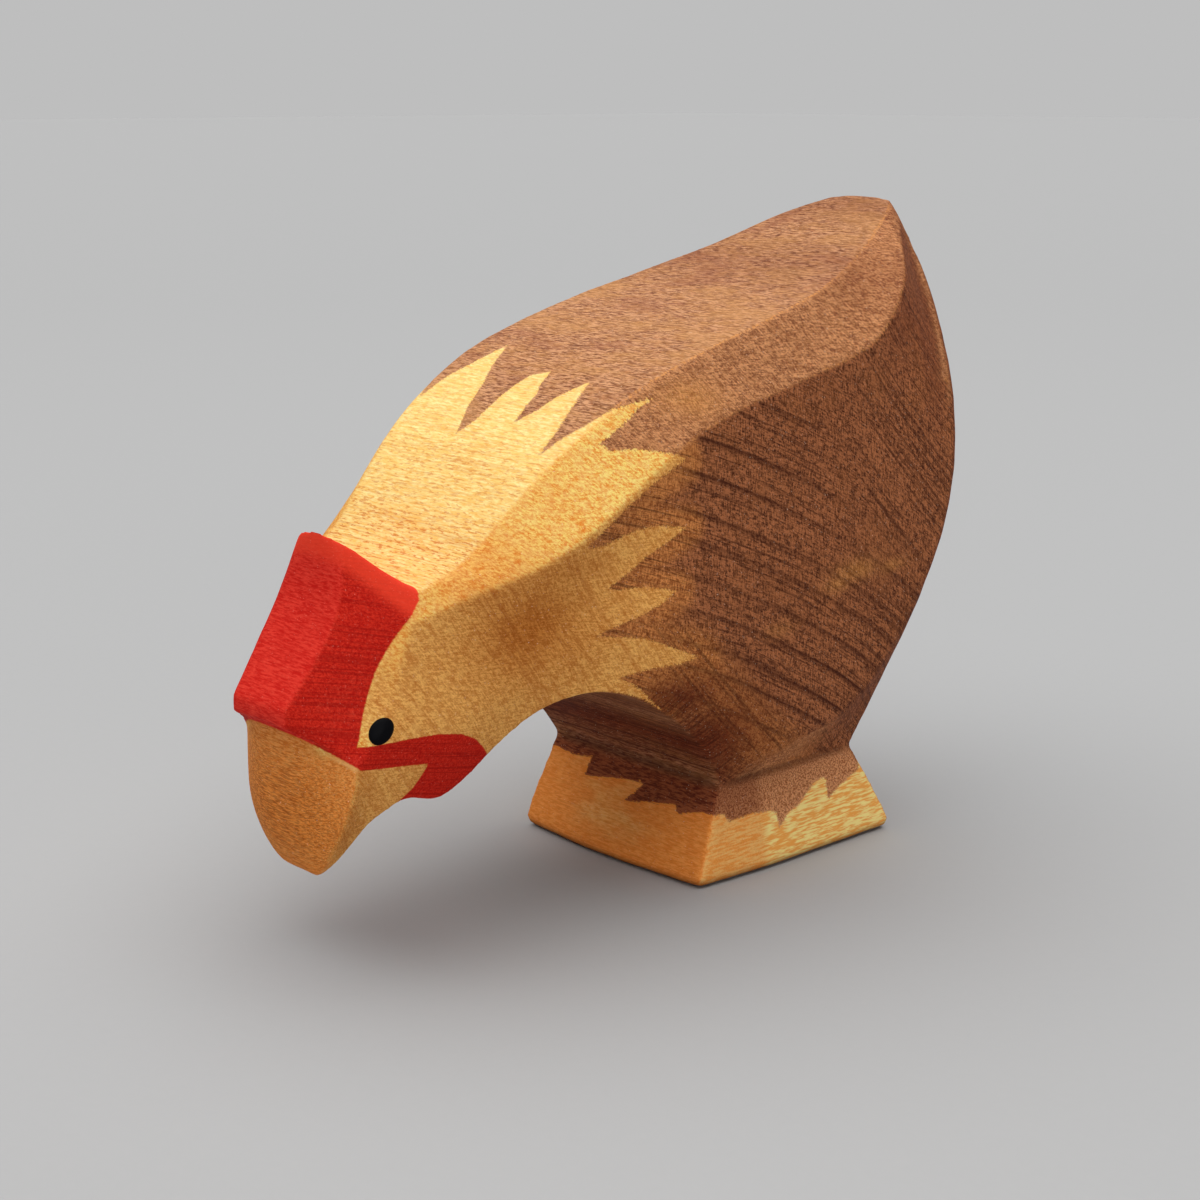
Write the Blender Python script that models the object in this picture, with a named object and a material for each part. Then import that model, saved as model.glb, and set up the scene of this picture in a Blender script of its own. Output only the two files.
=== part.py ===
"""Carved wooden hen, pecking at the ground, with two raised painted eyes.

Metres, +Z up. The hen looks along -Y and her left side is +X. The origin is the
middle of the foot's underside. The wooden body is a cage of ridges, cut by rings
from the face to the tail, mirrored about X = 0 and smoothed between its ridges.
"""

import math

import bmesh
import bpy
from mathutils import Vector
from mathutils.bvhtree import BVHTree

# Foot: a flared block under the body, with a stop cut all round its top
foot_width = 0.0210
foot_length = 0.0212
foot_front_bow = 0.0010
foot_corner_cut = 0.0069
foot_corner_taper = 0.0005
rim_height = 0.0008
rim_inset = 0.0002
waist_height = 0.0074
waist_width = 0.0182
waist_front = 0.0078
waist_back = 0.0069
waist_corner_cut = 0.0039

# Widths of the carved block, each measured right across the hen
board_thickness = 0.0260
back_width = 0.0214
neck_width = 0.0140
tail_width = 0.0058
rump_width = 0.0224
cheek_width = 0.0172
face_width = 0.0140
throat_width = 0.0114
belly_width = 0.0210

# Heights and reaches of the body
tail_height = 0.0490
tail_reach = 0.0172
tail_crown = 0.0003
rump_crown = 0.0010
saddle_height = 0.0428
nape_height = 0.0259
nape_reach = 0.0334

# Comb and beak
comb_width = 0.0070
comb_front_width = 0.0060
comb_front_reach = 0.0417
comb_front_height = 0.0184
comb_front_drop = 0.0012
comb_back_reach = 0.0368
comb_back_height = 0.0295
comb_overhang = 0.0011
beak_width = 0.0134
beak_tip_width = 0.0026
beak_tip_height = 0.0056
beak_tip_reach = 0.0388

# Eyes: drops of thick paint, which lie on the cheeks
eye_length = 0.0021
eye_breadth = 0.0017
eye_thickness = 0.00035
eye_clearance = 0.0001
eye_reach = 0.0367
eye_height = 0.0170
eye_tilt = math.radians(45)
eye_segments = 20
eye_rows = 4

# Smoothing between the ridges, and how sharp a full and a worn ridge are
smoothing_levels = 2
sharp = 1.0
worn = 0.8
soft = 0.5

# Half widths
side = board_thickness / 2
back = back_width / 2
neck = neck_width / 2
tail = tail_width / 2
rump = rump_width / 2
cheek = cheek_width / 2
face = face_width / 2
throat = throat_width / 2
belly = belly_width / 2
waist = waist_width / 2
comb = comb_width / 2
comb_front = comb_front_width / 2
beak = beak_width / 2
beak_tip = beak_tip_width / 2
foot = foot_width / 2


def on_head(half_width, ahead, above):
    """Point of the head: shares of the reach and height from the nape to the beak tip."""
    reach = nape_reach + ahead * (beak_tip_reach - nape_reach)
    return (half_width, -reach, nape_height + above * (nape_height - beak_tip_height))


def on_body(half_width, along, up):
    """Point of the body: shares of the nape's reach and saddle's height, or the tail's."""
    if along > 0:
        return (half_width, along * tail_reach, up * tail_height)
    return (half_width, along * nape_reach, up * saddle_height)


def on_comb(half_width, ahead, down):
    """Edge point of the comb: shares of the way from its back to its front."""
    reach = comb_back_reach + ahead * (comb_front_reach - comb_back_reach)
    return (half_width, -reach, comb_back_height - down * (comb_back_height - comb_front_height))


# Ridges from the face, ring 0, to the tail, ring 15. Each is a smooth curve through
# the points given here.
back_ridge = {
    0: (neck, -nape_reach, nape_height),
    2: on_head(1.04 * neck, -0.647, 0.074),
    4: on_body(0.82 * back, -0.737, 0.766),
    6: on_body(0.95 * back, -0.500, 0.888),
    8: on_body(back, -0.195, 0.963),
    9: (0.95 * back, 0, saddle_height),
    12: on_body(0.70 * back, 0.483, 0.927),
    14: on_body(0.43 * back, 0.866, 0.984),
    15: (tail, tail_reach, tail_height),
}
shoulder_ridge = {
    0: on_head(1.08 * neck, 0.174, -0.097),
    2: on_head(1.09 * cheek, -0.544, -0.016),
    4: on_body(0.943 * side, -0.748, 0.651),
    6: on_body(side, -0.506, 0.776),
    7: on_body(side, -0.389, 0.824),
    9: on_body(side, 0, 0.891),
    11: on_body(0.975 * side, 0.302, 0.814),
    12: on_body(0.89 * side, 0.517, 0.873),
    13: on_body(0.75 * side, 0.628, 0.916),
    15: on_body(1.38 * tail, 0.977, 0.976),
}
side_line = {
    0: on_head(face, 0.335, -0.241),
    2: on_head(cheek, -0.684, -0.212),
    4: on_body(0.75 * side, -0.722, 0.545),
    6: on_body(0.98 * side, -0.488, 0.642),
    7: on_body(side, -0.395, 0.669),
    9: on_body(side, -0.066, 0.608),
    11: on_body(side, 0.279, 0.541),
    12: on_body(side, 0.500, 0.633),
    13: on_body(0.955 * side, 0.686, 0.745),
    15: on_body(1.69 * tail, 0.959, 0.961),
}
chest_ridge = {
    0: on_head(face, 0.462, -0.399),
    2: on_head(cheek, -0.628, -0.409),
    4: on_body(0.715 * side, -0.749, 0.458),
    6: on_body(0.94 * side, -0.518, 0.535),
    7: on_body(0.99 * side, -0.413, 0.498),
    8: on_body(0.975 * side, -0.287, 0.374),
    9: on_body(0.955 * side, -0.120, 0.243),
    10: on_body(0.955 * side, 0.029, 0.229),
    11: on_body(0.94 * side, 0.267, 0.249),
    12: on_body(0.945 * side, 0.558, 0.355),
    13: on_body(0.96 * side, 0.872, 0.531),
    14: on_body(0.885 * side, 0.872, 0.755),
    15: on_body(1.97 * tail, 0.948, 0.949),
}
flank_line = {
    0: on_head(beak, 0.887, -0.542),
    2: on_head(0.86 * cheek, -0.406, -0.576),
    4: on_body(0.645 * side, -0.769, 0.406),
    6: on_body(0.87 * side, -0.545, 0.463),
    7: on_body(0.915 * side, -0.446, 0.416),
    8: on_body(0.89 * side, -0.329, 0.337),
    9: on_body(0.84 * side, -0.189, 0.211),
    10: on_body(0.84 * side, -0.057, 0.213),
    11: on_body(0.825 * side, 0.291, 0.200),
    12: on_body(0.89 * side, 0.558, 0.306),
    13: on_body(0.925 * side, 0.919, 0.529),
    14: on_body(0.845 * side, 0.924, 0.751),
    15: on_body(2.10 * tail, 0.942, 0.939),
}
under_ridge = {
    0: on_head(0.82 * throat, 0.406, -0.773),
    1: on_head(0.98 * throat, 0.019, -0.690),
    2: on_head(throat, -0.387, -0.773),
    4: on_body(0.715 * belly, -0.760, 0.364),
    5: on_body(0.84 * belly, -0.665, 0.397),
    6: on_body(0.97 * belly, -0.560, 0.395),
    7: on_body(belly, -0.443, 0.343),
    8: on_body(0.93 * belly, -0.290, 0.252),
    9: (waist, -waist_front, waist_height),
    10: (waist, -waist_corner_cut, waist_height),
    11: (waist, waist_back, waist_height),
    12: on_body(0.90 * rump, 0.488, 0.231),
    13: on_body(rump, 0.953, 0.527),
    14: on_body(0.91 * rump, 0.959, 0.751),
    15: on_body(2.20 * tail, 0.936, 0.927),
}
ridges = {
    "back": back_ridge,
    "shoulder": shoulder_ridge,
    "side": side_line,
    "chest": chest_ridge,
    "flank": flank_line,
    "under": under_ridge,
}
rails = ("top", "back", "shoulder", "side", "chest", "flank", "under", "keel")
last_ring = 15
foot_front_ring = 9
foot_back_ring = 11

# Comb, from its back to the ledge over the beak
comb_ledge = comb_front_height - comb_front_drop
comb_edge = (
    on_comb(0.63 * comb, -0.10, 0.05),
    on_comb(comb, 0.04, 0.39),
    on_comb(comb, 0.41, 0.65),
    (comb_front, -comb_front_reach, comb_front_height),
    (comb_front, -comb_front_reach, comb_ledge),
    (comb_front, -comb_front_reach + comb_overhang, comb_ledge),
)

# Beak, from the face towards the tip: outer ridge, front face and jaw edge
beak_ridge = (
    on_head(0.97 * beak, 0.944, -0.635),
    on_head(0.865 * beak, 1.038, -0.759),
    on_head(0.61 * beak, 1.075, -0.887),
)
beak_front = (
    on_head(0.42 * beak, 1.259, -0.586),
    on_head(0.375 * beak, 1.259, -0.724),
    on_head(0.285 * beak, 1.203, -0.872),
)
jaw_edge = (
    on_head(0.72 * throat, 0.538, -0.823),
    on_head(0.60 * throat, 0.665, -0.882),
    on_head(0.44 * throat, 0.797, -0.946),
)


def smooth_through(points):
    """Return one position per ring on a smooth curve through the given points."""
    rings = sorted(points)
    spots = [Vector(points[ring]) for ring in rings]
    slopes = []
    for index in range(len(rings)):
        before = max(index - 1, 0)
        after = min(index + 1, len(rings) - 1)
        slopes.append((spots[after] - spots[before]) / (rings[after] - rings[before]))
    line = [spots[0]]
    for index in range(len(rings) - 1):
        span = rings[index + 1] - rings[index]
        start, end = spots[index], spots[index + 1]
        leave, arrive = slopes[index] * span, slopes[index + 1] * span
        for step in range(1, span + 1):
            t = step / span
            line.append(
                start * (2 * t**3 - 3 * t**2 + 1)
                + leave * (t**3 - 2 * t**2 + t)
                + end * (3 * t**2 - 2 * t**3)
                + arrive * (t**3 - t**2)
            )
    return line


class Cage:
    """Named corners, faces and creases of the left half, mirrored when built."""

    def __init__(self):
        self.corners = {}
        self.faces = []
        self.creases = {}

    def add(self, name, position):
        self.corners[name] = Vector(position)

    def add_middle(self, name, neighbour):
        """Add a corner in the plane of symmetry, level with its neighbour."""
        position = self.corners[neighbour]
        self.add(name, (0, position.y, position.z))

    def face(self, *names):
        self.faces.append(names)

    def strip(self, first, second):
        """Fill the facets between two rows of as many corners."""
        for a, b, c, d in zip(first[:-1], first[1:], second[1:], second[:-1]):
            self.face(a, b, c, d)

    def crease(self, names, sharpness):
        for pair in zip(names[:-1], names[1:]):
            self.creases[frozenset(pair)] = sharpness

    def build(self, name):
        """Make the object of both halves, smoothed between the creases."""
        shape = bmesh.new()
        sharpness_layer = shape.edges.layers.float.new("crease_edge")
        left = {}
        right = {}
        for corner, position in self.corners.items():
            left[corner] = shape.verts.new(position)
            if position.x == 0:
                right[corner] = left[corner]
            else:
                right[corner] = shape.verts.new((-position.x, position.y, position.z))
        for half in (left, right):
            for names in self.faces:
                shape.faces.new([half[corner] for corner in names])
            for pair, sharpness in self.creases.items():
                edge = shape.edges.get([half[corner] for corner in pair])
                edge[sharpness_layer] = sharpness
        bmesh.ops.recalc_face_normals(shape, faces=shape.faces)
        mesh = bpy.data.meshes.new(name)
        shape.to_mesh(mesh)
        shape.free()
        block = bpy.data.objects.new(name, mesh)
        bpy.context.collection.objects.link(block)
        smoothing = block.modifiers.new("soft_facets", "SUBSURF")
        smoothing.levels = smoothing_levels
        smoothing.render_levels = smoothing_levels
        return block


def ring_names(rail, first, last):
    return [f"{rail}{ring}" for ring in range(first, last + 1)]


def add_body(cage):
    """Body, neck and cheeks: rings of corners joined into strips of facets."""
    for rail, points in ridges.items():
        for ring, position in enumerate(smooth_through(points)):
            cage.add(f"{rail}{ring}", position)
    for ring in range(last_ring + 1):
        cage.add_middle(f"top{ring}", f"back{ring}")
        if ring <= foot_front_ring or ring >= foot_back_ring:
            cage.add_middle(f"keel{ring}", f"under{ring}")
        if ring > foot_back_ring:
            cage.corners[f"keel{ring}"].y += rump_crown
    cage.corners[f"top{last_ring}"].z += tail_crown
    for upper, lower in zip(rails[:-2], rails[1:-1]):
        cage.strip(ring_names(upper, 0, last_ring), ring_names(lower, 0, last_ring))
    for first, last in ((0, foot_front_ring), (foot_back_ring, last_ring)):
        cage.strip(ring_names("under", first, last), ring_names("keel", first, last))
    cage.crease(ring_names("back", 0, last_ring), sharp)
    cage.crease(ring_names("shoulder", 0, last_ring), sharp)
    cage.crease(ring_names("chest", 5, last_ring), worn)
    cage.crease(ring_names("under", 0, last_ring), sharp)


def add_tail(cage):
    """Close the last ring with a narrow back face under the tip of the tail."""
    outer = [f"{rail}{last_ring}" for rail in rails[1:-1]]
    middle = [f"top{last_ring}"]
    for corner in outer[1:-1]:
        cage.add_middle(f"{corner}_middle", corner)
        cage.corners[f"{corner}_middle"].y += rump_crown
        middle.append(f"{corner}_middle")
    middle.append(f"keel{last_ring}")
    cage.strip(outer, middle)
    cage.crease(outer, worn)
    cage.crease([f"top{last_ring}", outer[0]], worn)


def add_comb(cage):
    """Comb: flat top, sloping sides, square back and a front that overhangs the beak."""
    edge = [f"comb{index}" for index in range(len(comb_edge))]
    crest = [f"crest{index}" for index in range(len(comb_edge))]
    for index, position in enumerate(comb_edge):
        cage.add(edge[index], position)
        cage.add_middle(crest[index], edge[index])
    cage.add("crest0", (0, -comb_back_reach, comb_back_height))
    face_ridge = ["back0", "shoulder0", "side0", "chest0", "flank0"]
    cage.strip(crest, edge)
    cage.strip(edge[:5], face_ridge)
    cage.face("comb4", "flank0", "comb5")
    cage.face("top0", "back0", "comb0", "crest0")
    cage.crease(edge[:5], worn)
    cage.crease(["top0", "back0", "comb0", "crest0"], sharp)
    cage.crease(["crest3", "comb3"], sharp)
    cage.crease(["crest4", "comb4", "flank0", "comb5", "crest5"], sharp)
    cage.crease(face_ridge, soft)


def add_beak(cage):
    """Beak: broad front face, narrow sides and an underside that run to the tip."""
    for index in range(len(beak_ridge)):
        cage.add(f"beak{index}", beak_ridge[index])
        cage.add(f"front{index}", beak_front[index])
        cage.add_middle(f"middle{index}", f"front{index}")
        cage.add(f"jaw{index}", jaw_edge[index])
        cage.add_middle(f"chin{index}", f"jaw{index}")
    cage.add("tip", (beak_tip, -beak_tip_reach, beak_tip_height))
    cage.add_middle("tip_middle", "tip")
    outer = ["flank0", "beak0", "beak1", "beak2", "tip"]
    front = ["comb5", "front0", "front1", "front2"]
    middle = ["crest5", "middle0", "middle1", "middle2"]
    jaw = ["under0", "jaw0", "jaw1", "jaw2", "tip"]
    chin = ["keel0", "chin0", "chin1", "chin2", "tip_middle"]
    cage.strip(middle, front)
    cage.strip(front, outer[:-1])
    cage.face("middle2", "front2", "beak2", "tip", "tip_middle")
    cage.strip(outer[:-1], jaw[:-1])
    cage.face("beak2", "jaw2", "tip")
    cage.strip(jaw, chin)
    cage.crease(outer, worn)
    cage.crease(jaw, worn)


def add_foot(cage):
    """Foot: faces that flare down from the waist, a small rim and a flat sole."""
    half_length = foot_length / 2
    outline = {
        "front": (0, -half_length - foot_front_bow),
        "corner": (foot - foot_corner_taper, -half_length),
        "cut": (foot, -half_length + foot_corner_cut),
        "heel": (foot, half_length),
        "end": (0, half_length),
    }
    waistline = [f"keel{foot_front_ring}", *ring_names("under", foot_front_ring, foot_back_ring)]
    waistline.append(f"keel{foot_back_ring}")
    for name, (x, y) in outline.items():
        cage.add(f"rim_{name}", (x, y, rim_height))
        shrink = 1 - rim_inset / half_length
        cage.add(f"sole_{name}", (x * shrink, y * shrink, 0))
    rim = [f"rim_{name}" for name in outline]
    sole = [f"sole_{name}" for name in outline]
    cage.strip(waistline, rim)
    cage.strip(rim, sole)
    cage.face(*sole)
    cage.crease(waistline, sharp)
    cage.crease(rim, sharp)
    cage.crease(sole, sharp)
    for corners in zip(waistline[1:-1], rim[1:-1], sole[1:-1]):
        cage.crease(corners, sharp)


def paint_drop(block, name, sign):
    """A drop of paint that follows the cheek under it, one clearance above the wood."""
    surface = BVHTree.FromObject(block, bpy.context.evaluated_depsgraph_get())
    start = Vector((sign * board_thickness, -eye_reach, eye_height))
    centre, outward, _, _ = surface.ray_cast(start, Vector((-sign, 0, 0)))
    upright = Vector((0, math.sin(eye_tilt), math.cos(eye_tilt)))
    along = (upright - outward * upright.dot(outward)).normalized()
    across = outward.cross(along)

    def lift(share, angle):
        """Point of the wood under a place in the drop, and the drop's height there."""
        place = along * (eye_length / 2 * share * math.cos(angle))
        place += across * (eye_breadth / 2 * share * math.sin(angle))
        wood = surface.ray_cast(centre + place + outward * board_thickness, -outward)[0]
        dome = 0.4 + 0.6 * math.cos(share * math.pi / 2)
        return wood + outward * eye_clearance, eye_thickness * dome

    shape = bmesh.new()
    seat_middle, height = lift(0, 0)
    rows = [[shape.verts.new(seat_middle)]]
    shares = [(row + 1) / eye_rows for row in range(eye_rows)]
    angles = [2 * math.pi * step / eye_segments for step in range(eye_segments)]
    for share in shares:
        rows.append([shape.verts.new(lift(share, angle)[0]) for angle in angles])
    for share in reversed(shares):
        row = []
        for angle in angles:
            seat, height_here = lift(share, angle)
            row.append(shape.verts.new(seat + outward * height_here))
        rows.append(row)
    rows.append([shape.verts.new(seat_middle + outward * height)])
    for lower, upper in zip(rows[:-1], rows[1:]):
        for step in range(eye_segments):
            following = (step + 1) % eye_segments
            ring = [lower[step % len(lower)], lower[following % len(lower)]]
            ring += [upper[following % len(upper)], upper[step % len(upper)]]
            shape.faces.new(list(dict.fromkeys(ring)))
    bmesh.ops.recalc_face_normals(shape, faces=shape.faces)
    mesh = bpy.data.meshes.new(name)
    shape.to_mesh(mesh)
    shape.free()
    mesh.shade_smooth()
    drop = bpy.data.objects.new(name, mesh)
    bpy.context.collection.objects.link(drop)
    return drop


def material(name, colour, roughness):
    """A matt, non-metallic material of one colour."""
    surface = bpy.data.materials.new(name)
    surface.use_nodes = True
    shader = surface.node_tree.nodes["Principled BSDF"]
    shader.inputs["Base Color"].default_value = (*colour, 1)
    shader.inputs["Roughness"].default_value = roughness
    shader.inputs["Metallic"].default_value = 0
    return surface


def main():
    for existing in list(bpy.data.objects):
        bpy.data.objects.remove(existing, do_unlink=True)
    cage = Cage()
    add_body(cage)
    add_tail(cage)
    add_comb(cage)
    add_beak(cage)
    add_foot(cage)
    hen = cage.build("carved_hen")
    hen.data.materials.append(material("stained_wood", (0.35, 0.16, 0.08), 0.6))
    black_paint = material("black_paint", (0.01, 0.01, 0.012), 0.3)
    for name, sign in (("left_eye", 1), ("right_eye", -1)):
        paint_drop(hen, name, sign).data.materials.append(black_paint)


main()
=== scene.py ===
"""Looks of the carved wooden hen: worn wood, water stains, saw marks, painted eyes, painted shade and
highlights.

Metres in Blender's objects, millimetres in the functions that draw on the wood. The
fibres of the wood run across the hen, along X, so both her sides are end grain.
"""

import math
import random

import bmesh
import bpy
import numpy as np
from mathutils import Matrix, Vector, noise
from mathutils.bvhtree import BVHTree


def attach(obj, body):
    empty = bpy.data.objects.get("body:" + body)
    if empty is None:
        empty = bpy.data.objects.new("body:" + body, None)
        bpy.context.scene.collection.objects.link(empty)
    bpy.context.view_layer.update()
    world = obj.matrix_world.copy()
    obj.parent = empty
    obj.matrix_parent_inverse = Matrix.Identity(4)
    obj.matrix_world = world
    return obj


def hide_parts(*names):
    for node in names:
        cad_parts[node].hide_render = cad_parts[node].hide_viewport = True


MM = 0.001

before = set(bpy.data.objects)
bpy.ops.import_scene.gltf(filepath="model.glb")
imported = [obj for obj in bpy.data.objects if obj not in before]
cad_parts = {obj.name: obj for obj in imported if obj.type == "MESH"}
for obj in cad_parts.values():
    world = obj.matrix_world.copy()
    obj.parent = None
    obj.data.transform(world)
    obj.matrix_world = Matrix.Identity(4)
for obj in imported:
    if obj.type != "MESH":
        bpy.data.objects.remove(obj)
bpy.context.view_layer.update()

# Camera, as the photograph was taken: place in mm, angles in degrees, and the lens and the
# width of the sensor in mm
camera_place = (111.35, -113.59, 57.01)
camera_azimuth = 47.447
camera_elevation = 13.628
camera_lens = 63.0
camera_sensor = 36.0

# Wood mesh in mm, how close corners of the plain block count as one, how often the mesh is
# averaged to wear its ridges, and the slight waves that the knife left in its flat cuts,
# with ripples a third as wide on them
voxel = 0.2
weld = 0.002
wear_passes = 4
carve_depth = 0.05
carve_size = 4.0
ripple_share = 0.4

# Edges that handling wore rounder still, as y and z of the middle in mm, how far it reaches
# each way, and how much: the tail's tip, the comb's crest and back rim, its lip over the
# beak, and the foot's rim. They are averaged more often than the rest.
round_patches = (
    (16.8, 48.6, 3.4, 3.0, 0.6), (-36.4, 29.2, 1.2, 1.1, 0.35), (-34.4, 26.4, 1.4, 1.4, 0.8),
    (-41.0, 18.0, 1.2, 1.2, 0.6), (0.0, 0.2, 40.0, 2.0, 1.0),
)
round_passes = 22

# Neck axis, round which the feathers are painted: a point (y, z) in mm, its slope in
# degrees, and the radius in mm at which angles round it are laid flat
neck_point = (-20.0, 24.0)
neck_slope = 30.0
neck_radius = 12.0

# Brown feathers over the back, from the far side to the near one, and down the near
# side to the throat. Each point is an angle round the neck, in degrees from the middle
# of the back, and a distance along the neck in mm. The far side mirrors the near one, and
# the painter's hand slips there by up to angle_slip and along_slip. The outlines of the
# brown close at past_end, behind the hen and above her.
feathers_back = (
    (-41.0, 5.0), (-40.0, 7.2), (-37.0, 9.7), (-35.5, 12.6), (-30.0, 10.2), (-22.6, 7.5), (-18.6, 5.0),
    (-11.7, 2.3), (-8.0, 3.7), (-6.6, 7.7), (-4.5, 9.2), (2.8, 9.9), (6.0, 8.2), (9.8, 7.2), (11.0, 5.6),
    (13.0, 4.2), (18.0, 5.6), (21.0, 7.5), (26.6, 9.4), (29.0, 7.7), (31.5, 5.8), (34.0, 4.0),
    (35.7, 1.6), (38.0, 3.5), (41.0, 5.2), (43.5, 7.0),
)
feathers_side = (
    (48.7, 9.7), (47.8, 8.4), (48.2, 6.9), (48.0, 5.6), (47.5, 4.5), (51.0, 4.7), (56.0, 6.2),
    (66.8, 8.5), (66.2, 7.3), (65.5, 5.3), (65.4, 3.0), (66.4, -1.1), (70.0, 0.2), (73.5, 3.0),
    (77.5, 4.6), (84.3, 6.4), (84.0, 4.9), (83.6, 2.8), (85.0, -0.5), (88.3, 0.4), (92.0, 1.7),
    (100.0, 3.7), (100.6, 2.4), (100.2, 0.7), (98.3, -2.7), (104.4, -1.0), (109.0, 0.4),
    (115.6, 1.6), (122.6, 3.2), (122.3, 1.9), (120.0, 0.0), (119.0, -2.2), (124.0, -1.4),
    (135.2, -0.3), (129.0, -1.3), (123.3, -2.9), (121.3, -4.4), (119.5, -7.0), (150.0, -7.4),
    (215.0, -7.0),
)
angle_slip = 1.5
along_slip = 0.5
slip_seed = 5
past_end = 80.0

# Lower edge of the brown on the foot: angle round the foot in degrees, from the front
# towards the hen's left, and height in mm. It runs once round, laps over by foot_lap at both
# ends, and is laid flat at a radius in mm.
foot_edge = (
    (-52, 5.4), (-47, 6.4), (-38, 6.2), (-28, 6.5), (-27, 5.1), (-13, 5.5), (-5, 5.7), (9, 5.9),
    (12, 5.8), (2, 4.3), (15, 4.7), (32, 5.2), (34, 4.7), (44, 5.3), (51, 5.2), (53, 4.5), (64, 4.6),
    (73, 4.4), (77, 4.1), (78, 2.9), (84, 3.8), (91, 4.1), (98, 4.8), (104, 5.4), (109, 5.6),
    (111, 5.3), (110, 3.8), (118, 4.6), (128, 5.3), (129, 6.1), (135, 5.2), (147, 5.6), (150, 4.3),
    (163, 5.0), (176, 5.8), (178, 4.4), (190, 4.9), (205, 5.3), (212, 4.6), (226, 5.5), (228, 4.2),
    (240, 4.8), (251, 5.4), (262, 5.6), (263, 3.6), (272, 4.5), (286, 5.1), (300, 5.9), (308, 5.4),
)
foot_lap = 8.0
foot_radius = 10.0

# Red of the comb, the face and the wattle, seen from the side: y and z in mm
red_outline = (
    (-32.9, 33.0), (-33.3, 26.4), (-33.6, 25.3), (-34.8, 23.6), (-35.6, 22.3), (-36.35, 20.9),
    (-36.95, 19.4), (-37.4, 18.2), (-37.75, 17.1), (-38.1, 16.1), (-36.8, 16.15), (-34.4, 16.2),
    (-32.7, 16.2), (-30.9, 15.9), (-29.5, 15.2), (-28.5, 14.3), (-27.7, 13.4), (-27.6, 9.0),
    (-35.4, 9.0), (-35.0, 10.6), (-34.2, 11.4), (-33.6, 12.3), (-33.0, 14.1), (-35.9, 14.35),
    (-38.0, 14.55), (-40.15, 16.35), (-41.4, 17.2), (-44.0, 17.3), (-44.0, 33.0),
)

# Marks of the saw and of the sanding belt on both sides, as arcs about centres (y, z) in
# mm: the saw's, the belt's at the rear, and a fan of them over the foot. The saw wandered a
# little and bit deeper at some radii, and its marks lie further out on the far side.
saw_centre = (-48.0, -66.0)
saw_wander = 0.12
saw_wander_size = 7.0
saw_uneven_size = 9.0
far_side_shift = 0.8
saw_bites = (106.0, 103.6, 101.0, 99.2, 96.9, 94.7, 92.5, 90.9, 88.8)
saw_width = 0.16
saw_depth = 0.035
rear_centre = (101.7, 131.7)
fan_centre = (48.6, 74.9)

# Straight marks, by their slope in degrees: chatter of the blade under the breast, and the
# fine hatching of the bare sides
chatter_slope = 50.0
hatch_slope = 54.0

# Where parts and marks begin or end, each as the two heights, places along the hen or radii
# in mm between which they fade. The front of the rear is given at one height, and leans
# forwards above it.
foot_contact_shadow = (0.1, 0.8)
foot_corner = (-4.2, -3.2)
foot_top = (6.8, 7.6)
beak_top = (15.2, 15.6)
beak_back = (-34.0, -33.0)
saw_bottom = (7.5, 9.5)
saw_front = (-17.5, -14.0)
rear_front = (-1.0, 6.0)
rear_front_height = 25.0
rear_front_lean = 0.3
rear_bottom = (19.0, 25.0)
fan_inner = (81.0, 83.0)
fan_outer = (85.0, 87.5)
fan_top = (20.0, 23.5)
chatter_inner = (84.6, 86.0)
chatter_outer = (90.0, 91.5)
chatter_top = (15.5, 17.5)

# How far a cut faces sideways, up or to the rear, each as the two shares of its normal
# between which one kind of cut ends and the next begins
bitten_turn = (0.80, 0.93)
side_turn = (0.72, 0.80)
side_upturn = (0.20, 0.30)
rear_turn = (0.15, 0.30)
rear_upturn = (0.40, 0.50)
top_turn = (0.32, 0.42)
frontal_turn = (0.44, 0.60)
worn_upturn = (0.12, 0.25)
behind_turn = (0.10, 0.30)
foot_turn = (0.45, 0.75)

# How deep a hollow is in mm where it starts to count as a crease, and where it is a full one
crease_depth = (0.02, 0.08)

# Shares of the looks in some places: how strongly the saw's bites show and how much that
# varies, how strongly the wear and painted highlight show on the ridges of the sides beside
# those of the back, how much of the pale tone and painted light the front of the foot's sides
# gets beside the rest, and how dark the painted shade is on the hen's rear
saw_strength = 0.75
saw_variation = 0.5
side_wear_and_highlight = 0.8
foot_front_paleness = 0.42
rear_painted_shade = 0.35

# Where the bare wood is a darker tan, partly stain soaked up and partly painted shade in the
# hollow of the neck, under the cheek and on the beak; where the brown was rubbed thin; where
# orange dashes crowd; and where painted shade makes the brown darkest, under the belly, in the
# waist, low on the rear and on the tail. Each is given as y and z of the middle in mm, how far
# it reaches each way, and how much
soaked_and_shaded_patches = (
    (-26.4, 22.6, 4.6, 4.0, 0.8), (-23.6, 21.0, 3.4, 2.8, 0.5), (-29.0, 25.2, 4.6, 1.5, 0.5),
    (-24.6, 26.4, 3.8, 1.5, 0.5), (-31.5, 13.2, 3.0, 2.0, 0.4), (-41.4, 10.5, 3.6, 6.0, 0.95),
)
thin_patches = (
    (2.6, 22.6, 2.4, 0.8, 0.9), (0.7, 21.9, 1.5, 0.6, 0.8), (6.9, 22.3, 1.7, 0.5, 0.6),
    (-5.5, 19.5, 1.6, 0.6, 0.35), (-13.7, 36.8, 2.3, 1.2, 0.8), (-17.4, 33.0, 2.0, 1.0, 0.4),
)
dashed_patches = (
    (-30.4, 27.6, 4.4, 3.4, 1.0), (-25.0, 31.5, 3.0, 3.0, 0.4), (-35.0, 21.0, 1.6, 3.6, 1.0),
)
painted_shade_patches = (
    (-10.4, 10.6, 4.0, 4.6, 1.0), (-14.0, 15.5, 4.0, 2.2, 0.8), (13.5, 11.0, 3.4, 4.4, 1.0),
    (6.5, 43.8, 6.0, 2.4, 0.35), (-10.6, 7.2, 3.0, 0.9, 0.9), (15.6, 48.2, 3.4, 2.8, 0.4),
)
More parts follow.
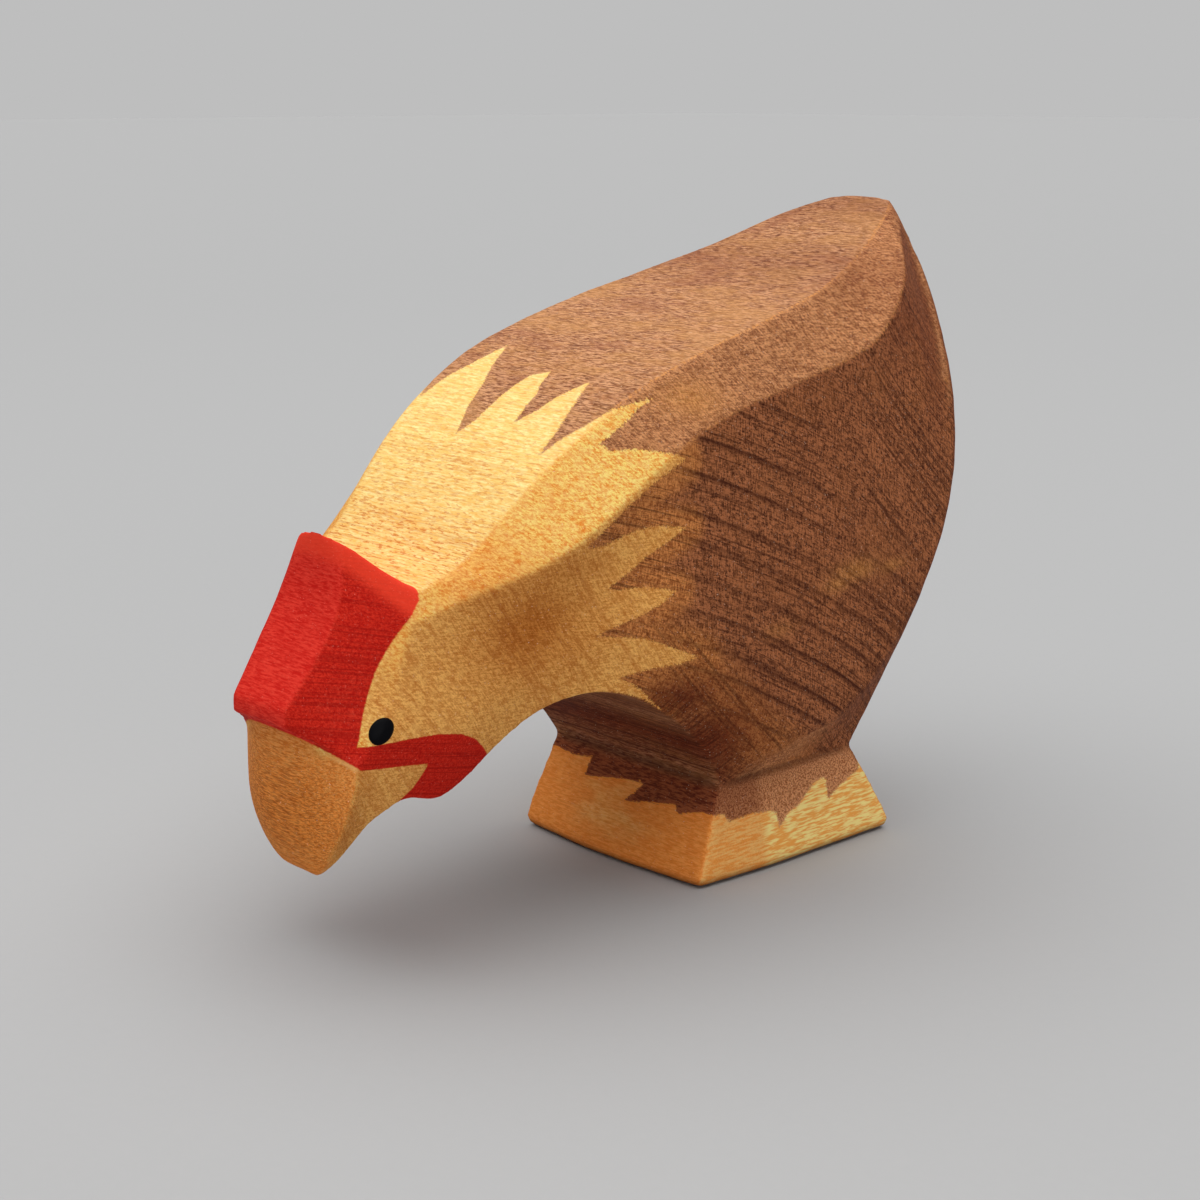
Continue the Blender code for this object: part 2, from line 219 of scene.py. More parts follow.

# Back rim of the comb, paler: a painted highlight where it rounds over, partly rubbed wear.
# Its crest (y, z) in mm, the slope in degrees at which it drops to the neck, how far inside the
# rim the highlight fades, and where the comb begins
comb_crest = (-36.6, 29.3)
comb_slope = 54.3
comb_rim_fade = (-1.5, -0.8)
comb_bottom = (23.5, 24.5)

# Noise in the wood, in lumps per mm: across a fibre of the end grain, along it and into the
# wood, and along a line that a tool left; and how far the fibres stand up in mm
weave_lumps = (8.0, 1.8, 2.0)
line_lumps = 0.06
grain_depth = 0.05

# Eyes: drops of thick paint on the cheeks, with their middle as (y, z), in mm and degrees.
# A larger fullness makes a flatter drop with a steeper rim. The rim lies a little under the
# wood's surface and the back deeper, and outside is clear of the cheek.
eye_place = (-36.61, 17.01)
eye_length = 1.95
eye_breadth = 1.52
eye_height = 0.26
eye_fullness = 2.6
eye_sink = 0.03
eye_root = 0.15
eye_lean = 45.0
eye_rings = 9
eye_spokes = 40
outside = 30.0

# Floor: half its side in m, the tone of its paper near the hen, how bright that comes out
# under the lamps, and how bright the backdrop is, whose tone the paper takes on between two
# distances in mm
floor_half = 4.0
floor_tone = 0.437
floor_lit = 0.537
far_tone = 0.515
floor_fade = (60.0, 500.0)

# Light: a softbox overhead and a weaker one at the camera's side that opens up the front,
# each with its strength, spread in degrees and direction, and a trace of light all round
softboxes = {
    "softbox_overhead": (3.58, 94.0, (-0.1, -0.03, 1.0)),
    "softbox_in_front": (1.52, 58.0, (0.8, -0.55, 0.02)),
}
fill_strength = 0.01


def link(piece):
    bpy.context.scene.collection.objects.link(piece)
    return piece


def read_points(mesh):
    """Vertex places in mm, one row each."""
    places = np.zeros(len(mesh.vertices) * 3)
    mesh.vertices.foreach_get("co", places)
    return places.reshape(-1, 3) / MM


def write_points(mesh, places):
    mesh.vertices.foreach_set("co", (places * MM).ravel())
    mesh.update()


def read_normals(mesh):
    normals = np.zeros(len(mesh.vertices) * 3)
    mesh.vertices.foreach_get("normal", normals)
    return normals.reshape(-1, 3)


def store(mesh, name, values):
    """Keep one number per vertex for the material."""
    attribute = mesh.attributes.new(name, "FLOAT", "POINT")
    attribute.data.foreach_set("value", np.asarray(values, np.float32))


def averaged(mesh, values, passes):
    """Values per vertex, averaged with their neighbours a number of times."""
    ends = np.zeros(len(mesh.edges) * 2, int)
    mesh.edges.foreach_get("vertices", ends)
    first, second = ends.reshape(-1, 2).T
    count = len(mesh.vertices)
    degree = np.bincount(first, minlength=count) + np.bincount(second, minlength=count)
    columns = [column.copy() for column in np.atleast_2d(np.asarray(values, float).T)]
    for _ in range(passes):
        for index, column in enumerate(columns):
            total = np.bincount(first, column[second], count)
            total += np.bincount(second, column[first], count)
            columns[index] = (column + total) / (degree + 1)
    return columns[0] if len(columns) == 1 else np.array(columns).T


def noise_field(places, size, seed):
    """Smooth noise, about -1 to 1, whose lumps are as wide as size in mm."""
    shift = Vector((seed * 17.3, seed * 5.7, seed * 11.9))
    return np.array([noise.noise(Vector(place) / size + shift) for place in places])


def ramp(values, low, high):
    """0 at low, 1 at high, straight between them."""
    return np.clip((values - low) / (high - low), 0, 1)


def fall(values, low, high):
    """1 at low, 0 at high, straight between them."""
    return ramp(-values, -high, -low)


def signed_distance(flat, outline):
    """Distance in mm from each point to the closed outline, positive inside it."""
    tiny = 1e-9
    nearest = np.full(len(flat), np.inf)
    inside = np.zeros(len(flat), bool)
    for start, end in zip(outline, [*outline[1:], outline[0]]):
        start, end = np.array(start), np.array(end)
        along = end - start
        offset = flat - start
        share = np.clip(offset @ along / max(along @ along, tiny), 0, 1)
        nearest = np.minimum(nearest, np.hypot(*(offset - share[:, None] * along).T))
        crosses = (start[1] > flat[:, 1]) != (end[1] > flat[:, 1])
        rise = along[1] if along[1] else tiny
        meets = start[0] + (flat[:, 1] - start[1]) / rise * along[0]
        inside ^= crosses & (flat[:, 0] < meets)
    return np.where(inside, nearest, -nearest)


def fine_wood(node):
    """The CAD block as an even fine mesh, with its ridges worn a little round."""
    block = link(bpy.data.objects.new("block", node.data.copy()))
    shape = bmesh.new()
    shape.from_mesh(block.data)
    bmesh.ops.remove_doubles(shape, verts=shape.verts, dist=weld * MM)
    shape.to_mesh(block.data)
    shape.free()
    remesh = block.modifiers.new("even_mesh", "REMESH")
    remesh.mode = "VOXEL"
    remesh.voxel_size = voxel * MM
    shaped = block.evaluated_get(bpy.context.evaluated_depsgraph_get())
    mesh = bpy.data.meshes.new_from_object(shaped)
    bpy.data.objects.remove(block)
    write_points(mesh, averaged(mesh, read_points(mesh), wear_passes))
    return mesh


def around_neck(places):
    """Unrolled places in mm: round the neck, and along it."""
    slope = math.radians(neck_slope)
    ahead = places[:, 1] - neck_point[0]
    above = places[:, 2] - neck_point[1]
    along = ahead * math.cos(slope) + above * math.sin(slope)
    outward = above * math.cos(slope) - ahead * math.sin(slope)
    return np.column_stack((np.arctan2(places[:, 0], outward) * neck_radius, along))


def feather_outline():
    """Closed outline of the brown stain, unrolled round the neck in mm."""
    hand = random.Random(slip_seed)
    far = []
    for angle, along in feathers_side[:-1]:
        turned = angle + hand.uniform(-angle_slip, angle_slip)
        far.append((-turned, along + hand.uniform(-along_slip, along_slip)))
    last_angle, last_along = feathers_side[-1]
    far.append((-last_angle, last_along))
    edge = [*reversed(far), *feathers_back, *feathers_side]
    edge += [(last_angle, past_end), (-last_angle, past_end)]
    return [(math.radians(angle) * neck_radius, along) for angle, along in edge]


def around_foot(places):
    """Unrolled places in mm: round the foot from its first angle on, and up."""
    angle = np.degrees(np.arctan2(places[:, 0], -places[:, 1]))
    angle = np.where(angle < foot_edge[0][0], angle + 360, angle)
    return np.column_stack((np.radians(angle) * foot_radius, places[:, 2]))


def foot_outline():
    """Closed outline of the brown above the foot's edge, unrolled round the foot in mm."""
    (first, first_height), (last, last_height) = foot_edge[0], foot_edge[-1]
    first, last = first - foot_lap, last + foot_lap
    edge = [*foot_edge, (last, last_height), (last, past_end), (first, past_end), (first, first_height)]
    return [(math.radians(angle) * foot_radius, height) for angle, height in edge]


def arc(places, centre):
    """Distance in mm from a centre in the side view, the same for both sides."""
    return np.hypot(places[:, 1] - centre[0], places[:, 2] - centre[1])


def patches(places, spots):
    """Soft spots in the side view, 1 in the middle of a full one."""
    total = np.zeros(len(places))
    for y, z, long, high, amount in spots:
        away = ((places[:, 1] - y) / long) ** 2 + ((places[:, 2] - z) / high) ** 2
        total = np.maximum(total, amount * np.exp(-away))
    return total


def saw_reach(places):
    """Slightly uneven distance in mm from the saw's centre, another one on the far side."""
    wander = saw_wander * noise_field(places, saw_wander_size, seed=3)
    return arc(places, saw_centre) + wander + far_side_shift * (places[:, 0] < 0)


def saw_area(places, normals):
    """Share of each point that the saw's bites show on: the flat of the two sides."""
    area = ramp(np.abs(normals[:, 0]), *bitten_turn) * ramp(places[:, 2], *saw_bottom)
    area *= ramp(places[:, 1], *saw_front)
    uneven = noise_field(places, saw_uneven_size, seed=10)
    return area * (saw_strength + saw_variation * uneven)


def saw_grooves(places, normals):
    """How deep the saw bit, 0 to 1, at each point."""
    reach = saw_reach(places)
    grooves = sum(np.exp(-(((reach - bite) / saw_width) ** 2)) for bite in saw_bites)
    return grooves * saw_area(places, normals)


def carve(mesh):
    """Round some edges, and give the cuts the waves of the knife and the sides saw marks."""
    places = read_points(mesh)
    share = patches(places, round_patches)[:, None]
    places += share * (averaged(mesh, places, round_passes) - places)
    write_points(mesh, places)
    normals = read_normals(mesh)
    waves = noise_field(places, carve_size, seed=1)
    waves += ripple_share * noise_field(places, carve_size / 3, seed=2)
    depth = carve_depth * (1 + ripple_share - waves) + saw_depth * saw_grooves(places, normals)
    places -= normals * depth[:, None]
    places[:, 2] = np.maximum(places[:, 2], 0.0)
    write_points(mesh, places)


def facet_normals(places, node):
    """Normal of the nearest flat cut of the CAD block, for each place in mm."""
    corners = [corner.co for corner in node.data.vertices]
    tree = BVHTree.FromPolygons(corners, [face.vertices for face in node.data.polygons])
    return np.array([tree.find_nearest(Vector(place) * MM)[1] for place in places])


def rim(mesh, area, passes=3):
    """1 along the border of an area, fading to 0 within half a millimetre."""
    return 1 - np.abs(2 * averaged(mesh, area, passes) - 1)


def foot_share(places):
    """1 on the foot, 0 on the body."""
    return fall(places[:, 2], *foot_top)


def rear_share(mesh, normals):
    """1 where the wood faces backwards."""
    return ramp(averaged(mesh, normals, passes=3)[:, 1], *behind_turn)


def face_areas(mesh, places, normals, facets):
    """Which cuts face up or sideways, where ridges take wear and a painted highlight, and parts of the
    hen.
    """
    _, y, z = places.T
    sideways = np.abs(facets[:, 0])
    side_face = ramp(sideways, *side_turn) * fall(facets[:, 2], *side_upturn)
    rear_face = ramp(facets[:, 1], *rear_turn) * fall(facets[:, 2], *rear_upturn)
    side_face = np.maximum(side_face, rear_face)
    beak = fall(z, *beak_top) * fall(y, *beak_back)
    top_face = np.maximum(fall(sideways, *top_turn), beak * (1 - side_face))
    # Ridges that face up, and not to the rear, take wear and a painted highlight
    upward = ramp(averaged(mesh, normals, passes=6)[:, 2], *worn_upturn)
    upward *= 1 - rear_share(mesh, normals)
    hollow = np.einsum("ij,ij->i", averaged(mesh, places, passes=12) - places, normals)
    # The foot's sides are paler and take painted light, less of both at their front
    paler_behind = foot_front_paleness + (1 - foot_front_paleness) * ramp(y, *foot_corner)
    foot_side_pale_and_lit = foot_share(places) * paler_behind
    foot_side_pale_and_lit *= ramp(averaged(mesh, sideways, passes=2), *foot_turn)
    return {
        "beak": beak,
        "top_face": averaged(mesh, top_face, passes=1),
        "side_face": averaged(mesh, side_face, passes=1),
        "frontal": fall(averaged(mesh, normals, passes=4)[:, 2], *frontal_turn),
        "worn": np.maximum(rim(mesh, top_face), side_wear_and_highlight * rim(mesh, side_face)) * upward,
        "crease": ramp(averaged(mesh, hollow, passes=2), *crease_depth),
        "foot_part": foot_share(places),
        "foot_side_pale_and_lit": foot_side_pale_and_lit,
        "foot_contact_shadow": fall(z, *foot_contact_shadow),
    }


def stain_areas(mesh, places, normals):
    """How far inside each stain's edge a point lies, in mm, where the stains differ, and where
    painted shade and a painted highlight lie on them.
    """
    slope = math.radians(comb_slope)
    above = (places[:, 1] - comb_crest[0]) * math.sin(slope)
    above += (places[:, 2] - comb_crest[1]) * math.cos(slope)
    # Painted shade on the wood that faces backwards
    rear = rear_painted_shade * rear_share(mesh, normals)
    return {
        "feathers": signed_distance(around_neck(places), feather_outline()),
        "foot_stain": signed_distance(around_foot(places), foot_outline()),
        "red": signed_distance(places[:, 1:], red_outline),
        "comb_rim_highlight": ramp(above, *comb_rim_fade) * ramp(places[:, 2], *comb_bottom),
        "soaked_and_shaded": patches(places, soaked_and_shaded_patches),
        "thin": patches(places, thin_patches),
        "dashed": patches(places, dashed_patches),
        "painted_shade": np.maximum(patches(places, painted_shade_patches), rear),
    }


def mark_areas(places, facets):
    """Distance across each family of tool marks, in mm, and where that family shows."""
    _, y, z = places.T
    rear_arc, fan_arc = arc(places, rear_centre), arc(places, fan_centre)
    chatter, hatch = math.radians(chatter_slope), math.radians(hatch_slope)
    behind = y + rear_front_lean * (z - rear_front_height)
    chatter_area = ramp(fan_arc, *chatter_inner) * fall(fan_arc, *chatter_outer)
    return {
        "saw_arc": saw_reach(places),
        "saw_area": saw_area(places, facets),
        "rear_arc": rear_arc,
        "rear_area": ramp(behind, *rear_front) * ramp(z, *rear_bottom),
        "fan_arc": fan_arc,
        "fan_area": ramp(fan_arc, *fan_inner) * fall(fan_arc, *fan_outer) * fall(z, *fan_top),
        "chatter": y * math.sin(chatter) - z * math.cos(chatter),
        "chatter_area": chatter_area * fall(z, *chatter_top) * (1 - foot_share(places)),
        "hatch": y * math.sin(hatch) + z * math.cos(hatch),
    }


def draw_on(mesh, node):
    """Store where the cuts, the stains and the tool marks are, for the wood's material."""
    places, normals = read_points(mesh), read_normals(mesh)
    facets = facet_normals(places, node)
    areas = face_areas(mesh, places, normals, facets)
    areas |= stain_areas(mesh, places, normals)
    areas |= mark_areas(places, facets)
    for name, values in areas.items():
        store(mesh, name, values)


class Paint:
    """Short forms for the nodes of one material."""

    def __init__(self, name):
        self.material = bpy.data.materials.new(name)
        self.material.use_nodes = True
        self.tree = self.material.node_tree
        self.shader = self.tree.nodes["Principled BSDF"]

    def node(self, kind, inputs=(), **settings):
        node = self.tree.nodes.new(kind)
        for name, value in settings.items():
            setattr(node, name, value)
        for place, value in enumerate(inputs):
            self.set(node.inputs[place], value)
        return node

    def set(self, socket, value):
        if isinstance(value, bpy.types.NodeSocket):
            self.tree.links.new(value, socket)
        elif value is not None:
            socket.default_value = value

    def mm(self):
        """Place on the piece in mm."""
        coordinates = self.node("ShaderNodeTexCoord").outputs["Object"]
        scaled = self.node("ShaderNodeVectorMath", (coordinates,), operation="SCALE")
        scaled.inputs["Scale"].default_value = 1 / MM
        return scaled.outputs[0]

    def stretch(self, vector, factors):
        return self.node("ShaderNodeVectorMath", (vector, factors), operation="MULTIPLY").outputs[0]

    def noise(self, vector, scale, detail=2.0, roughness=0.5):
        node = self.node("ShaderNodeTexNoise", (vector,))
        node.inputs["Scale"].default_value = scale
        node.inputs["Detail"].default_value = detail
        node.inputs["Roughness"].default_value = roughness
        return node.outputs["Fac"]

    def math(self, operation, *values):
        return self.node("ShaderNodeMath", values, operation=operation).outputs[0]

    def step(self, value, low, high):
        """0 below low, 1 above high, smooth between them."""
        node = self.node("ShaderNodeMapRange", interpolation_type="SMOOTHSTEP")
        self.set(node.inputs["Value"], value)
        self.set(node.inputs["From Min"], low)
        self.set(node.inputs["From Max"], high)
        return node.outputs["Result"]

    def times(self, *shares):
        """Product of some shares."""
        total = shares[0]
        for share in shares[1:]:
            total = self.math("MULTIPLY", total, share)
        return total

    def attribute(self, name):
        return self.node("ShaderNodeAttribute", attribute_name=name).outputs["Fac"]

    def mix(self, share, first, second, blend="MIX"):
        node = self.node("ShaderNodeMix", data_type="RGBA", blend_type=blend)
        self.set(node.inputs["Factor"], share)
        self.set(node.inputs[6], first)
        self.set(node.inputs[7], second)
        return node.outputs[2]


def linear(red, green, blue):
    """Colour of 0 to 255 steps, as on a screen, for a shader."""
    shares = [value / 255 for value in (red, green, blue)]
    return (*[v / 12.92 if v <= 0.04045 else ((v + 0.055) / 1.055) ** 2.4 for v in shares], 1.0)


def weave(paint, name, axis):
    """Short fibres along one family of lines and across it, as end grain shows them, 0 to 1."""
    place = paint.node("ShaderNodeSeparateXYZ", (paint.mm(),))
    along, across = place.outputs[axis], paint.attribute(name)
    layers = []
    for narrow, wide in ((across, along), (along, across)):
        pairs = zip((narrow, wide, place.outputs[0]), weave_lumps)
        shares = [paint.math("MULTIPLY", value, lumps) for value, lumps in pairs]
        vector = paint.node("ShaderNodeCombineXYZ", shares).outputs[0]
        layers.append(paint.noise(vector, 1.0, 2.0, 0.8))
    return paint.step(paint.math("ADD", *layers), 0.87, 1.13)


def wood_grain(paint):
    """Noises that follow the fibres, and the shares of the surface they lie on."""
    mm = paint.mm()

    def along_x(share, scale, roughness, detail=2.0):
        """Noise drawn out along the fibres: the smaller the share, the longer its dashes."""
        return paint.noise(paint.stretch(mm, (share, 1.0, 1.0)), scale, detail, roughness)

    fibres = along_x(0.16, 7.5, 0.75)
    pores = paint.step(along_x(0.60, 7.0, 0.85), 0.36, 0.62)
    streaks = paint.noise(paint.stretch(mm, (1.0, 0.12, 1.0)), 6.0, 2.0, 0.6)
    rubbed = paint.step(paint.noise(mm, 5.0, 2.0, 0.7), 0.34, 0.64)
    foot = paint.attribute("foot_part")
    body = paint.math("SUBTRACT", 1.0, foot)
    return {
        "lines": along_x(0.02, 6.0, 0.6),
        "sinews": along_x(0.10, 11.0, 0.8),
        "fibres": fibres,
        "strands": paint.step(fibres, 0.36, 0.62),
        "dashes": along_x(0.25, 6.0, 0.6),
        "tint": along_x(0.60, 4.6, 0.7),
        "mottle": along_x(0.40, 1.5, 0.7, 3.0),
        "clouds": along_x(0.45, 0.28, 0.55, 3.0),
        "streaks": streaks,
        "specks": paint.noise(mm, 9.0, 1.0, 0.5),
        "cut": paint.mix(0.35, weave(paint, "hatch", 2), pores),
        "sawn": paint.mix(0.35, weave(paint, "saw_arc", 1), pores),
        # Broken line of wear and painted highlight along the ridges
        "worn": paint.step(paint.times(paint.attribute("worn"), rubbed), 0.2, 0.75),
        "end": paint.times(paint.attribute("side_face"), body),
        "top": paint.math("MAXIMUM", paint.attribute("top_face"), foot),
        "foot": foot,
    }


def arc_lines(paint, name, fineness, low, high):
    """Dark lines of uneven strength along one family of arcs, 0 to 1."""
    place = paint.node("ShaderNodeSeparateXYZ", (paint.mm(),)).outputs[1]
    across = paint.math("MULTIPLY", paint.attribute(name), fineness)
    along = paint.math("MULTIPLY", place, line_lumps)
    vector = paint.node("ShaderNodeCombineXYZ", (across, along)).outputs[0]
    return paint.step(paint.noise(vector, 1.0, 2.0, 0.7), low, high)


def bite_lines(paint):
    """Crisp dark lines where the saw bit deeper, each with a softer shade beside it, 0 to 1."""
    first, last = min(saw_bites) - 1, max(saw_bites) + 1
    node = paint.node("ShaderNodeMapRange")
    paint.set(node.inputs["Value"], paint.attribute("saw_arc"))
    paint.set(node.inputs["From Min"], first)
    paint.set(node.inputs["From Max"], last)
    ramp_node = paint.node("ShaderNodeValToRGB", (node.outputs["Result"],))
    stops = ramp_node.color_ramp.elements
    stops[1].color = (0, 0, 0, 1)
    for bite in saw_bites:
        for offset, tone in ((-3 * saw_width, 0.0), (0.0, 1.0), (saw_width, 0.0)):
            stop = stops.new((bite + offset - first) / (last - first))
            stop.color = (tone, tone, tone, 1)
    return ramp_node.outputs["Color"]


def tool_lines(paint, grain):
    """Lines that the saw and the belt left in the end grain, 0 to 1."""
    rear, fan = paint.attribute("rear_area"), paint.attribute("fan_area")
    others = paint.math("MAXIMUM", rear, fan)
    plain = paint.math("SUBTRACT", 1.0, others)
    saw = paint.times(arc_lines(paint, "saw_arc", 4.4, 0.53, 0.61), plain, 0.65)
    bands = paint.times(arc_lines(paint, "saw_arc", 1.3, 0.50, 0.72), plain, 0.4)
    saw = paint.math("MAXIMUM", saw, bands)
    bites = paint.times(bite_lines(paint), paint.attribute("saw_area"))
    bites = paint.times(bites, paint.math("MULTIPLY_ADD", rear, -0.7, 1.15))
    belt = paint.times(arc_lines(paint, "rear_arc", 4.2, 0.48, 0.64), rear, 0.7)
    spread = paint.times(arc_lines(paint, "fan_arc", 4.2, 0.46, 0.62), fan, 0.6)
    lines = paint.math("MAXIMUM", paint.math("MAXIMUM", saw, bites), paint.math("MAXIMUM", belt, spread))
    lines = paint.math("MULTIPLY", lines, grain["end"])
    facet = paint.times(arc_lines(paint, "chatter", 5.2, 0.42, 0.60), paint.attribute("chatter_area"))
    return paint.math("MAXIMUM", lines, paint.times(facet, 0.7))


def bare_wood(paint, grain):
    """Pale hardwood with a thin yellow wash: orange dashes along the fibres, specks across."""
    strands, pores = grain["strands"], grain["cut"]
    dashes = paint.step(grain["dashes"], 0.53, 0.64)
    orange = paint.step(grain["tint"], 0.54, 0.64)
    blotches = paint.step(grain["mottle"], 0.42, 0.60)
    crowded = paint.math("MULTIPLY_ADD", paint.attribute("dashed"), 0.45, 0.35)

    # Cuts that face up, cream, and those that face the front, orange
    top = paint.mix(strands, linear(250, 198, 106), linear(255, 232, 157))
    top = paint.mix(paint.times(blotches, 0.4), top, linear(250, 200, 106))
    top = paint.mix(paint.times(dashes, crowded), top, linear(214, 118, 44))
    frontal = paint.mix(strands, linear(222, 124, 48), linear(255, 178, 96))
    frontal = paint.mix(paint.times(dashes, 0.5), frontal, linear(192, 94, 32))
    frontal = paint.mix(paint.times(grain["foot"], 0.55), frontal, linear(238, 139, 58))
    top = paint.mix(paint.attribute("frontal"), top, frontal)
    lined = paint.times(paint.step(grain["lines"], 0.50, 0.60), crowded)
    top = paint.mix(paint.times(lined, 0.45), top, linear(206, 120, 48))

    # Chamfers, their pale tone partly painted light, tanned where the dashes crowd
    bevel = paint.mix(pores, linear(238, 140, 46), linear(255, 230, 130))
    bevel = paint.mix(paint.times(orange, 0.6), bevel, linear(230, 120, 36))
    bevel = paint.mix(paint.times(blotches, 0.25), bevel, linear(255, 226, 146))
    tan = paint.mix(pores, linear(224, 122, 42), linear(250, 178, 86))
    bevel = paint.mix(paint.times(paint.attribute("dashed"), 0.6), bevel, tan)

    # Flat sides, finely hatched
    side = paint.mix(pores, linear(205, 127, 54), linear(253, 194, 108))
    side = paint.mix(paint.times(orange, 0.35), side, linear(210, 122, 50))
    hatched = paint.times(arc_lines(paint, "hatch", 2.4, 0.48, 0.66), 0.35)
    side = paint.mix(hatched, side, linear(190, 104, 38))
    wood = paint.mix(grain["top"], bevel, top)
    wood = paint.mix(grain["end"], wood, side)

    # Sides of the foot, paler, partly lighter end grain and partly painted light where they tilt
    # up, with pale streaks from front to back
    bright = paint.step(grain["streaks"], 0.40, 0.60)
    bright = paint.mix(bright, linear(248, 170, 82), linear(255, 228, 146))
    wood = paint.mix(paint.attribute("foot_side_pale_and_lit"), wood, bright)

    # Neck, cheek and beak darker, partly stain soaked up and partly painted shade
    deep = paint.mix(pores, linear(150, 70, 12), linear(196, 110, 34))
    deep = paint.mix(paint.times(hatched, 1.2), deep, linear(140, 62, 12))
    sinewy = paint.step(grain["sinews"], 0.38, 0.62)
    sinewy = paint.mix(sinewy, linear(146, 70, 18), linear(222, 134, 56))
    deep = paint.mix(paint.attribute("beak"), deep, sinewy)
    wood = paint.mix(paint.attribute("soaked_and_shaded"), wood, deep)

    # Painted highlight in a pale line on the beak under the comb, and painted contact shadow
    # along the lower rim of the foot
    beak_front = paint.times(paint.attribute("beak"), paint.attribute("top_face"))
    ledge_highlight = paint.times(paint.step(paint.attribute("red"), -0.34, -0.14), beak_front, 0.55)
    wood = paint.mix(ledge_highlight, wood, linear(246, 192, 120))
    # Painted contact shadow along the foot's lower rim
    return paint.mix(paint.times(paint.attribute("foot_contact_shadow"), 0.8), wood, linear(96, 44, 20))


def brown_stain(paint, grain):
    """Brown water stain: tan flecks on the back, dark saw lines and ochre specks on the sides."""
    strands = grain["strands"]
    orange = paint.step(grain["tint"], 0.54, 0.68)
    blotches = paint.step(grain["mottle"], 0.44, 0.62)

    # Cuts that face up, with dark flecks and clouds of ochre and rose
    back = paint.mix(strands, linear(118, 66, 40), linear(218, 160, 116))
    back = paint.mix(paint.times(blotches, 0.35), back, linear(190, 130, 72))
    flecks = paint.times(paint.step(grain["dashes"], 0.44, 0.34), 0.6)
    back = paint.mix(flecks, back, linear(92, 48, 32))
    back = paint.mix(paint.times(orange, 0.3), back, linear(196, 118, 76))
    ochre_clouds = paint.times(paint.step(grain["clouds"], 0.48, 0.64), 0.3)
    back = paint.mix(ochre_clouds, back, linear(206, 148, 88))
    rose_clouds = paint.times(paint.step(grain["clouds"], 0.46, 0.34), 0.3)
    back = paint.mix(rose_clouds, back, linear(150, 88, 64))

    # Chamfers
    bevel = paint.mix(grain["cut"], linear(118, 64, 41), linear(224, 158, 106))
    bevel = paint.mix(paint.times(orange, 0.35), bevel, linear(192, 112, 68))
    bevel = paint.mix(paint.times(blotches, 0.25), bevel, linear(150, 92, 50))

    # Flat sides: a first coat along the feathers, and a second one behind them
    first_coat = paint.mix(grain["sawn"], linear(134, 68, 31), linear(224, 146, 82))
    deep_coat = paint.mix(grain["sawn"], linear(58, 24, 14), linear(194, 120, 77))
    off_fan = paint.math("SUBTRACT", 1.0, paint.times(paint.attribute("fan_area"), 0.7))
    second_coat = paint.times(paint.step(paint.attribute("feathers"), 0.8, 2.0), off_fan)
    end_grain = paint.mix(second_coat, first_coat, deep_coat)
    end_grain = paint.mix(paint.times(orange, 0.3), end_grain, linear(168, 96, 52))
    warm = paint.times(paint.step(grain["clouds"], 0.46, 0.70), 0.2)
    end_grain = paint.mix(warm, end_grain, linear(160, 96, 52))
    brown = paint.mix(grain["top"], bevel, back)
    brown = paint.mix(grain["end"], brown, end_grain)

    # Thin spots, ridges paler with wear and a painted highlight, and the stain on the foot
    ochre = paint.mix(grain["sawn"], linear(180, 108, 50), linear(236, 168, 92))
    brown = paint.mix(paint.times(paint.attribute("thin"), 0.6), brown, ochre)
    brown = paint.mix(paint.times(grain["worn"], 0.7), brown, linear(230, 156, 86))
    stained_foot = paint.mix(strands, linear(98, 44, 28), linear(160, 92, 58))
    # Paler stain on the foot's sides, partly lighter end grain and partly painted light
    paler = paint.mix(strands, linear(150, 84, 50), linear(224, 158, 108))
    stained_foot = paint.mix(paint.attribute("foot_side_pale_and_lit"), stained_foot, paler)
    brown = paint.mix(grain["foot"], brown, stained_foot)

    # Painted shade under the belly, in the waist and on the rear, creases darker, partly stain
    # gathered there and partly painted shade, and the lines of the tools
    painted_shade = paint.mix(strands, linear(82, 25, 11), linear(120, 46, 22))
    brown = paint.mix(paint.times(paint.attribute("painted_shade"), 0.9), brown, painted_shade)
    # Creases darker, partly stain gathered there and partly painted shade
    brown = paint.mix(paint.times(paint.attribute("crease"), 0.7), brown, linear(64, 26, 13))
    return paint.mix(paint.times(tool_lines(paint, grain), 0.85), brown, linear(58, 22, 13))


def red_stain(paint, grain):
    """Red stain, darker on the flat sides from deeper stain and painted shade, with paler fibres
    where it was rubbed.
    """
    fibres = paint.step(grain["fibres"], 0.34, 0.66)
    front = paint.mix(fibres, linear(198, 26, 18), linear(226, 58, 44))
    side = paint.mix(fibres, linear(180, 20, 11), linear(214, 46, 29))
    lines = paint.times(arc_lines(paint, "saw_arc", 5.5, 0.46, 0.62), 0.5)
    side = paint.mix(lines, side, linear(146, 10, 6))
    # Flat sides darker than the front, partly deeper stain and partly painted shade
    red = paint.mix(paint.attribute("top_face"), side, front)
    # Painted highlight on the comb's back rim, partly rubbed wear
    red = paint.mix(paint.times(paint.attribute("comb_rim_highlight"), 0.75), red, linear(240, 66, 42))
    pale = paint.times(paint.step(grain["dashes"], 0.58, 0.70), 0.25)
    red = paint.mix(pale, red, linear(236, 84, 64))
    # Wear and a painted highlight on the red's ridges
    return paint.mix(paint.times(grain["worn"], 0.2), red, linear(236, 76, 54))


